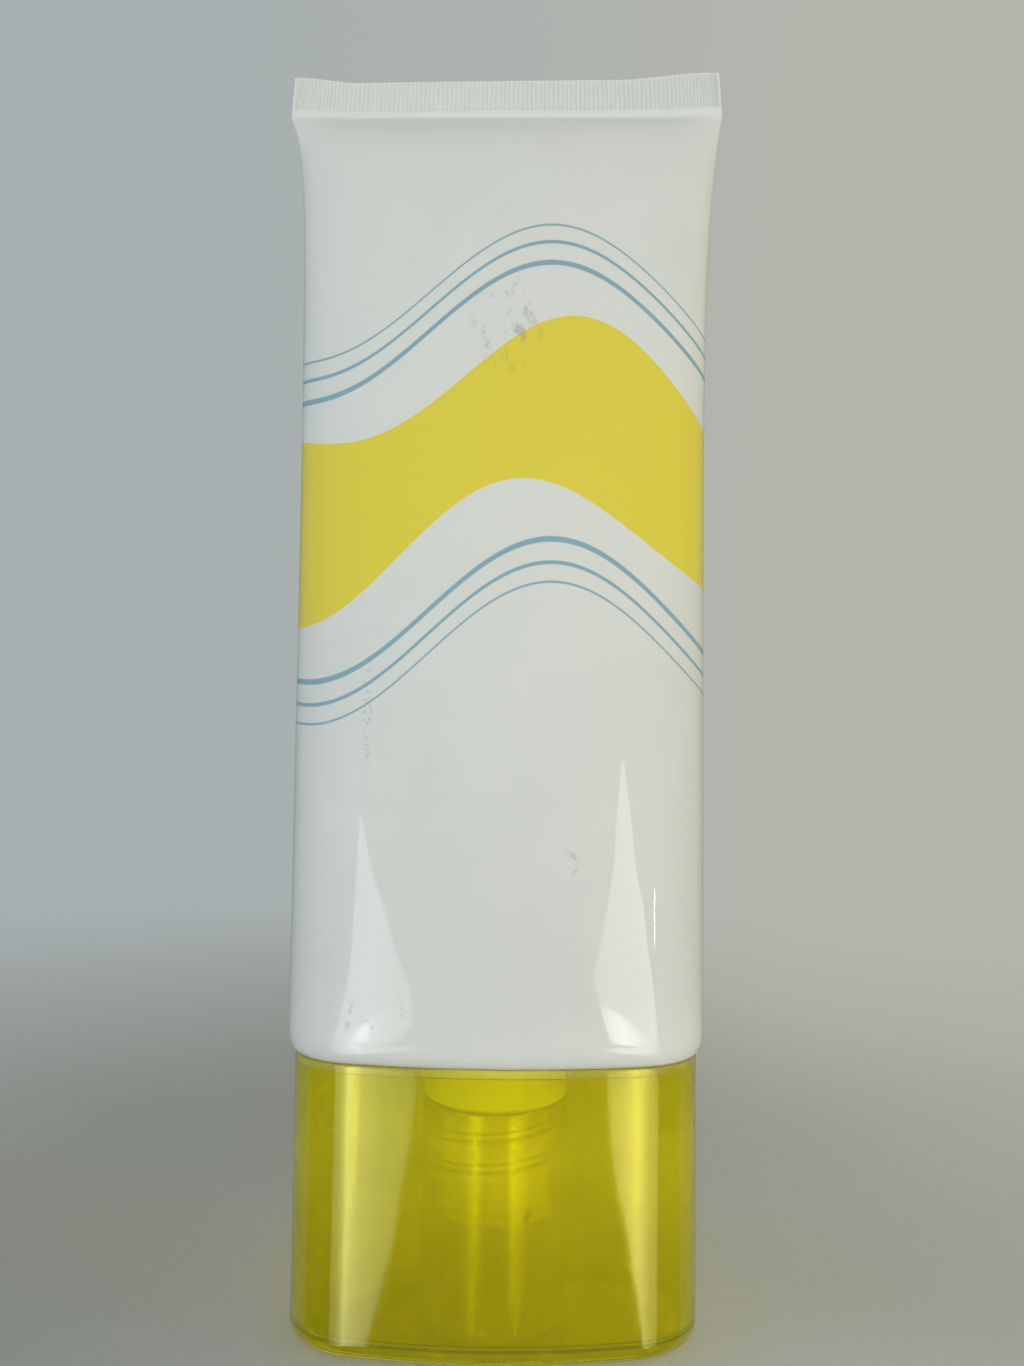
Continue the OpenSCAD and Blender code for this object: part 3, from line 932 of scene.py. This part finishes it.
def cream_rings(head, sleeve):
    """The cream: a plug in the channel, a funnel, the body a little inside the sleeve, and a domed top."""
    angle = rays(CREAM_STEPS)
    gap = 0.3 * MM
    half_width, half_depth = sleeve.width / 2, sleeve.depth / 2
    oval = Oval(half_width, half_depth, END_SHARE * half_depth)
    plug = head.neck_bore / 2 - gap
    plug_z = head.land_z + head.land_thickness + gap
    plate_z = head.shoulder_z + head.shoulder_thickness + gap
    rise = sleeve.body_height - sleeve.hem_height
    low = oval.inset(sleeve.wall + head.skirt_thickness + 2 * gap)
    rows = [(plug * s, plug_z + MM * c) for s, c in quarter_round(5)[1:]]
    rows += [(plug, plate_z - MM), (plug + 0.5 * MM, plate_z)]
    rows += [(plug + (low.reach(angle) - plug) * part, plate_z) for part in (0.5, 0.95)]
    rows += [(low.reach(angle), plate_z + 0.8 * MM), (low.reach(angle), head.skirt_top)]
    start = (head.skirt_top + 2 * MM - sleeve.bottom_z - sleeve.hem_height) / rise
    shares = np.linspace(start, 0.86, 26)
    inset = sleeve.wall + gap
    for t in shares:
        wide = half_width + (sleeve.seal_width / 2 - half_width) * flare(t, 0) - inset
        thin = sleeve.seal_thickness / 2
        deep = thin + (half_depth - thin) * (1 - t ** THIN_POWER) ** THIN_ROUND - inset
        lens = LENS_MOST * math.sin(math.pi * t)
        flat = Oval(wide, deep, END_SHARE * deep).reach(angle)
        round_reach = 1 / np.sqrt((np.cos(angle) / wide) ** 2 + (np.sin(angle) / deep) ** 2)
        z = sleeve.bottom_z + sleeve.hem_height + rise * t
        rows.append(((1 - lens) * flat + lens * round_reach, z))
    last, last_z = rows[-1]
    dome = 1.5 * MM
    rows += [(last * (1 - c), last_z + dome * s) for s, c in quarter_round(6)[1:-1]]
    rings = polar_rings(angle, rows)
    return rings, (0, 0, plug_z), (0, 0, last_z + dome)


class TUBE_OT_cap(bpy.types.Operator):
    """Builds the clear yellow cap with its threaded socket"""

    bl_idname = "tube.cap"
    bl_label = "Build Cap"

    def execute(self, context):
        scene = context.scene
        cap = scene.tube_cap
        rings = cap_rings(cap, scene.tube_head)
        piece = make_piece("screw_cap", rings, first=(0, 0, cap.gate_depth), last=(0, 0, cap.floor))
        dress(piece, "cap", ["cap"], cap_finish(scene.tube_colours))
        return {"FINISHED"}


class TUBE_OT_head(bpy.types.Operator):
    """Builds the white head: shoulder, stop collar, threaded neck and land"""

    bl_idname = "tube.head"
    bl_label = "Build Head"

    def execute(self, context):
        scene = context.scene
        piece = make_piece("moulded_head", head_rings(scene.tube_head, scene.tube_sleeve), wrap=True)
        dress(piece, "tube", ["tube_head"], head_finish(scene.tube_colours))
        return {"FINISHED"}


class TUBE_OT_sleeve(bpy.types.Operator):
    """Builds the soft white sleeve with its ribbed, pressed end"""

    bl_idname = "tube.sleeve"
    bl_label = "Build Sleeve"

    def execute(self, context):
        scene = context.scene
        rings, first, grooves, gleams = sleeve_rings(scene.tube_sleeve)
        piece = make_piece("soft_sleeve", rings, first=first, fold=True, sharp=SLEEVE_SHARP)
        mark(piece, "groove", grooves)
        mark(piece, "gleam", gleams)
        dress(piece, "tube", ["sleeve"], sleeve_finish(scene.tube_colours))
        return {"FINISHED"}


class TUBE_OT_filling(bpy.types.Operator):
    """Builds the cream in the tube and gives the foam wad its finish"""

    bl_idname = "tube.filling"
    bl_label = "Build Filling"

    def execute(self, context):
        scene = context.scene
        rings, first, last = cream_rings(scene.tube_head, scene.tube_sleeve)
        piece = make_piece("cream_fill", rings, first=first, last=last)
        dress(piece, "tube", ["cream"], cream_finish(scene.tube_colours))
        foam = wad_finish(scene.tube_colours)
        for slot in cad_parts["wad"].material_slots:
            slot.material = foam
        return {"FINISHED"}


# Studio


def add_camera(scene, studio):
    """The photograph's camera: level, a little up, and rolled so that the picture turns clockwise."""
    lens = bpy.data.cameras.new("camera")
    lens.lens = studio.lens
    lens.sensor_width = 36
    lens.clip_start = 0.005
    lens.clip_end = 50
    camera = bpy.data.objects.new("camera", lens)
    scene.collection.objects.link(camera)
    pitch, roll = studio.camera_pitch, studio.camera_roll
    ahead = Vector((0, math.cos(pitch), math.sin(pitch)))
    up = Vector((0, -math.sin(pitch), math.cos(pitch)))
    right = Vector((1, 0, 0))
    axes = (
        right * math.cos(roll) + up * math.sin(roll),
        up * math.cos(roll) - right * math.sin(roll),
        -ahead,
    )
    camera.matrix_world = Matrix.Translation(studio.camera_place) @ Matrix(axes).transposed().to_4x4()
    scene.camera = camera


def floor_finish():
    """Matt pale floor that gives way to the backdrop further out and in reflections."""
    bench = new_finish("studio_floor")
    where, x, y, z = bench.place()
    distance = bench.from_axis(x, y)
    grain = bench.noise(where, 1.5 * MM, detail=3)
    # Painted light on the floor: painted shade makes it darker near the tube, and it is painted darker and
    # cooler on the left, lighter and warmer on the right.
    near = bench.mix(bench.ramp(x, -0.08, 0.10), (0.34, 0.355, 0.355), (0.51, 0.515, 0.485))
    far = bench.mix(bench.ramp(x, -0.08, 0.10), (0.44, 0.455, 0.45), (0.64, 0.64, 0.60))
    tint = bench.mix(bench.ramp(distance, 0.06, 0.22), near, far)
    tint = bench.mix(grain * 0.12, tint, (0.2, 0.2, 0.2))
    matt = bench.node("ShaderNodeBsdfDiffuse", inputs={"Color": tint, "Roughness": 0.5})
    gone = bench.math("MAXIMUM", bench.ramp(distance, 0.08, 0.42), bench.was_mirrored())
    return bench.finish(bench.either(gone, matt, bench.clear()))


def stage_object(scene, name, points, faces, finish):
    """A mesh of the studio, which isn't part of the tube."""
    mesh = bpy.data.meshes.new(name)
    mesh.from_pydata(points.tolist(), [], faces)
    mesh.update()
    mesh.materials.append(finish)
    made = bpy.data.objects.new(name, mesh)
    scene.collection.objects.link(made)
    made.visible_shadow = False
    return made


def add_floor(scene):
    """A round floor: rings of equal turns with a centre point."""
    angle = rays(FLOOR_STEPS)
    rows = [(radius, 0.0) for radius in (0.05, 0.1, 0.2, 0.35, 0.6, 1.2, 3.0)]
    rings = polar_rings(angle, rows)
    count = len(rows)
    points = np.vstack([rings.reshape(-1, 3), (0, 0, 0)])
    column = np.arange(FLOOR_STEPS)
    centre = np.full(FLOOR_STEPS, count * FLOOR_STEPS)
    fan = np.stack([column, (column + 1) % FLOOR_STEPS, centre], axis=-1)
    faces = ring_faces(count, FLOOR_STEPS, False)[:, ::-1].tolist() + fan.tolist()
    stage_object(scene, "studio_floor", points, faces, floor_finish())


def window_finish(name, strength, tint, levels):
    """A glow that only mirrored paths see. Its level over the azimuth follows the given pairs.

    It is brighter on paths that went in and out through two clear walls.
    """
    bench = new_finish(name)
    where, x, y, z = bench.place()
    azimuth = bench.math("ARCTAN2", x, 0 - y) * (180 / math.pi)
    first, last = levels[0][0], levels[-1][0]
    stops = [((place - first) / (last - first), (level,) * 3) for place, level in levels]
    level = bench.node("ShaderNodeValToRGB", {"stops": stops}, {0: (azimuth - first) / (last - first)})
    through = bench.math("GREATER_THAN", bench.path("Transmission Depth"), 3.5)
    level = level * (1 + (CLEAR_WALL_BOOST - 1) * through) / CLEAR_WALL_BOOST
    glow = bench.node("ShaderNodeEmission", inputs={
        "Color": bench.mix(level, (0, 0, 0), tint), "Strength": strength * CLEAR_WALL_BOOST})
    bench.owner.cycles.emission_sampling = "NONE"
    return bench.finish(bench.either(bench.was_mirrored(), bench.clear(), glow))


def add_window(scene, name, edges, levels, strength, tint):
    """A bright window that shows only in reflections.

    It is a patch of a large sphere: each edge entry gives an elevation and the two azimuths
    between which it is bright there, in degrees, with azimuth 0 towards the camera.
    """
    edges = np.array(edges, float)
    elevation = np.linspace(edges[0, 0], edges[-1, 0], 60)
    inner = np.interp(elevation, edges[:, 0], edges[:, 1])
    outer = np.interp(elevation, edges[:, 0], edges[:, 2])
    across = np.linspace(0, 1, 24)[None, :]
    azimuth = np.radians(inner[:, None] + (outer - inner)[:, None] * across)
    high = np.radians(elevation)[:, None]
    points = WINDOW_RADIUS * np.stack([
        np.cos(high) * np.sin(azimuth), -np.cos(high) * np.cos(azimuth),
        np.sin(high) * np.ones_like(azimuth)], axis=-1)
    points[..., 2] += WINDOW_CENTRE_Z
    rows, columns = azimuth.shape
    corner = (np.arange(rows - 1)[:, None] * columns + np.arange(columns - 1)).ravel()
    faces = np.stack([corner, corner + 1, corner + columns + 1, corner + columns], axis=-1)
    finish = window_finish(name, strength, tint, levels)
    window = stage_object(scene, name, points.reshape(-1, 3), faces.tolist(), finish)
    window.visible_camera = False
    window.visible_diffuse = False


def add_lamp(scene, name, place, aim, size, power, tint, beam=math.pi):
    """A soft area light that shows in no reflection; beam is the angle that its light spreads over."""
    lamp = bpy.data.lights.new(name, "AREA")
    lamp.shape = "DISK"
    lamp.size = size
    lamp.spread = beam
    lamp.energy = power
    lamp.color = tint
    stand = bpy.data.objects.new(name, lamp)
    scene.collection.objects.link(stand)
    direction = Vector(aim) - Vector(place)
    stand.matrix_world = Matrix.Translation(place) @ direction.to_track_quat("-Z", "Y").to_matrix().to_4x4()
    stand.visible_glossy = False
    stand.visible_camera = False


def light_world(scene, studio):
    """The world: a pale backdrop that is cooler on the left, soft light for matt surfaces,
    and in reflections dark in front of the tube and pale behind it."""
    world = bpy.data.worlds.new("studio_world")
    scene.world = world
    bench = Bench(world)
    where = bench.node("ShaderNodeTexCoord", output=0)
    split = bench.node("ShaderNodeSeparateXYZ", inputs={0: where})
    side = Wire(bench, split.socket.node.outputs[0])
    ahead = Wire(bench, split.socket.node.outputs[1])
    diffuse = bench.path("Is Diffuse Ray")
    left, right = tuple(studio.backdrop_left), tuple(studio.backdrop_right)
    half = (0.5, 0.5, 0.5)
    backdrop = bench.mix(bench.ramp(side, -0.35, 0.35), left, right)
    dim = bench.mix(bench.ramp(side, -0.35, 0.35), shaded(left, half), shaded(right, half))
    mirrored = bench.mix(bench.ramp(ahead, 0.0, 0.16), (0.03, 0.03, 0.03), dim)
    soft = bench.mix(bench.ramp(side, -0.8, 0.8), (0.37, 0.42, 0.44), (0.45, 0.435, 0.37))
    lit = bench.mix(diffuse, backdrop, soft)
    lit = bench.mix(bench.was_mirrored() * (1 - diffuse), lit, mirrored)
    glow = bench.node("ShaderNodeBackground", inputs={"Color": lit, "Strength": 1.0})
    bench.node("ShaderNodeOutputWorld", inputs={"Surface": glow})


COOL = (0.90, 0.99, 1.0)
WARM = (1.0, 0.96, 0.72)
CREAMY = (1.0, 0.98, 0.88)
PALE = (1.0, 1.0, 0.96)
# For each window: its share of the studio's window strength, its tint, its edges as elevation and
# two azimuths, and its levels as azimuth and brightness. The angles are in degrees.
WINDOWS = {
    "window_left_low": (1.06, COOL, (
        (-37, -34.8, -36.4), (-34, -32.5, -39), (-30.5, -29.5, -42), (-28.6, -26, -47.5),
        (-27.4, -24.8, -48), (-26.6, -23.6, -47.6), (-24.2, -20.8, -47.2), (-21.7, -18.9, -47),
        (-18.7, -17, -46.8), (-16.5, -16, -46.2), (-15.9, -17.5, -46.2), (-15.3, -24, -46.5),
        (-14.4, -24.2, -49), (-13.3, -19.9, -48.3),
    ), (
        (-55, 0.14), (-50, 0.18), (-43, 0.22), (-39, 0.27), (-35.5, 0.38), (-32.8, 0.58), (-30.3, 1.0),
        (-28.8, 0.68), (-27, 0.52), (-25, 0.43), (-23.5, 0.37), (-20, 0.3), (-16, 0.23),
    )),
    "window_left_middle": (1.6, COOL, (
        (-13.3, -19.9, -48.3), (-13, -18.4, -48), (-12.5, -18.6, -47.7), (-11.8, -19.0, -45.1),
    ), (
        (-49, 0.3), (-39, 0.32), (-34, 0.4), (-31.3, 0.56), (-29.5, 1.0), (-28.2, 0.85), (-26.6, 0.45),
        (-21, 0.28), (-18, 0.2),
    )),
    "window_left_high": (1.1, COOL, (
        (-11.8, -19.0, -45.1), (-11, -19.7, -41), (-10.6, -20.6, -38.2), (-10, -21.8, -34.8),
        (-8.7, -24.2, -35), (-7.9, -25.5, -35.2), (-6.3, -27.9, -36.3), (-4.5, -31.7, -37.2),
        (-2.1, -35.6, -38.2), (-0.6, -38.2, -38.7),
    ), (
        (-45, 0.45), (-36, 0.45), (-31, 0.5), (-25, 0.4), (-19, 0.25),
    )),
    "window_right_low": (0.98, WARM, (
        (-35, 36, 38), (-31, 33.5, 39), (-28.6, 31.4, 45), (-27.6, 30.5, 50), (-26.8, 28.9, 50.6),
        (-24.5, 27, 50.8), (-22.5, 25.4, 51), (-20.8, 23.6, 51.3), (-19.1, 22.6, 51.5),
        (-16.4, 22, 51.5), (-15.7, 22, 51), (-15.6, 31, 44), (-14.6, 28, 46), (-13.0, 23.8, 46.6),
    ), (
        (20, 0.4), (23.5, 0.55), (26, 0.75), (28, 0.97), (32, 0.68), (39, 0.42), (51, 0.3),
    )),
    "window_right_middle": (1.5, CREAMY, (
        (-13.0, 23.8, 46.6), (-12.4, 22.9, 46.4), (-11.5, 22.3, 46.1),
    ), (
        (22, 0.4), (24, 0.7), (26, 1.0), (28, 0.95), (30, 0.65), (34, 0.5), (38, 0.36), (47, 0.3),
    )),
    "window_right_high": (1.03, CREAMY, (
        (-11.5, 22.3, 46.1), (-10.4, 21.2, 43.5), (-9.1, 22.9, 41), (-7.5, 24.8, 36.4),
        (-6.2, 26.3, 36.8), (-5.1, 27.6, 37.1), (-3.3, 29.4, 36), (-0.5, 31.3, 35.8), (2.6, 33.6, 34.4),
    ), (
        (21, 0.42), (28, 0.5), (33, 0.55), (37, 0.68), (46, 0.45),
    )),
    "slit_right": (2.2, PALE, (
        (-6.6, 42.9, 44.4), (-5.2, 43.8, 45.8), (-3.8, 45, 46.6),
    ), (
        (40, 1.0), (50, 1.0),
    )),
}


class TUBE_OT_studio(bpy.types.Operator):
    """Sets up the camera, the floor, the lights and the backdrop"""

    bl_idname = "tube.studio"
    bl_label = "Set Up Studio"

    def execute(self, context):
        scene = context.scene
        studio = scene.tube_studio
        add_camera(scene, studio)
        add_floor(scene)
        light_world(scene, studio)
        for name, (part, tint, edges, levels) in WINDOWS.items():
            add_window(scene, name, edges, levels, studio.window_strength * part, tint)
        middle = (0, 0, 0.1)
        key, key_tint = studio.key_power, (1.0, 1.0, 0.97)
        add_lamp(scene, "key", (0.01, -0.28, 0.115), middle, 0.14, key, key_tint)
        add_lamp(scene, "low_key", (0, -0.30, -0.12), middle, 0.20, key * 0.18, key_tint)
        add_lamp(scene, "left_fill", (-0.5, -0.1, 0.15), middle, 0.35, 0.34, (0.80, 0.95, 1.0))
        add_lamp(scene, "right_fill", (0.5, -0.1, 0.17), middle, 0.35, 0.44, (1.0, 0.88, 0.48))
        low, beam = (0, 0, 0.008), math.radians(13)
        add_lamp(scene, "low_left", (-0.28, -0.12, 0.035), low, 0.02, 0.0012, (0.95, 1.0, 0.9), beam)
        add_lamp(scene, "low_right", (0.28, -0.12, 0.035), low, 0.02, 0.0028, (1.0, 0.95, 0.85), beam)
        add_lamp(scene, "low_front", (0.0, -0.30, 0.06), low, 0.02, 0.0002, key_tint, beam)
        add_lamp(scene, "back_fill", (0.1, 0.5, 0.4), middle, 0.40, 0.8, (1.0, 0.99, 0.96))
        scene.view_settings.view_transform = "Standard"
        return {"FINISHED"}


class TUBE_PT_panel(bpy.types.Panel):
    """Lists what the add-on builds"""

    bl_label = "Squeeze Tube"
    bl_idname = "TUBE_PT_panel"
    bl_space_type = "VIEW_3D"
    bl_region_type = "UI"
    bl_category = "Tube"

    def draw(self, context):
        column = self.layout.column()
        for operator in BUILDERS:
            column.operator(operator.bl_idname)
        for name in ("cap", "sleeve", "band", "line"):
            column.prop(context.scene.tube_colours, name)


BUILDERS = (TUBE_OT_cap, TUBE_OT_head, TUBE_OT_sleeve, TUBE_OT_filling, TUBE_OT_studio)
GROUPS = {
    "tube_cap": TubeCapSizes,
    "tube_head": TubeHeadSizes,
    "tube_sleeve": TubeSleeveSizes,
    "tube_colours": TubeColours,
    "tube_studio": TubeStudio,
}


def register():
    for name, group in GROUPS.items():
        bpy.utils.register_class(group)
        setattr(bpy.types.Scene, name, bpy.props.PointerProperty(type=group))
    for operator in BUILDERS:
        bpy.utils.register_class(operator)
    bpy.utils.register_class(TUBE_PT_panel)


def unregister():
    bpy.utils.unregister_class(TUBE_PT_panel)
    for operator in reversed(BUILDERS):
        bpy.utils.unregister_class(operator)
    for name, group in GROUPS.items():
        delattr(bpy.types.Scene, name)
        bpy.utils.unregister_class(group)


def main():
    register()
    bpy.ops.tube.cap()
    bpy.ops.tube.head()
    bpy.ops.tube.sleeve()
    bpy.ops.tube.filling()
    bpy.ops.tube.studio()


if __name__ == "__main__":
    main()
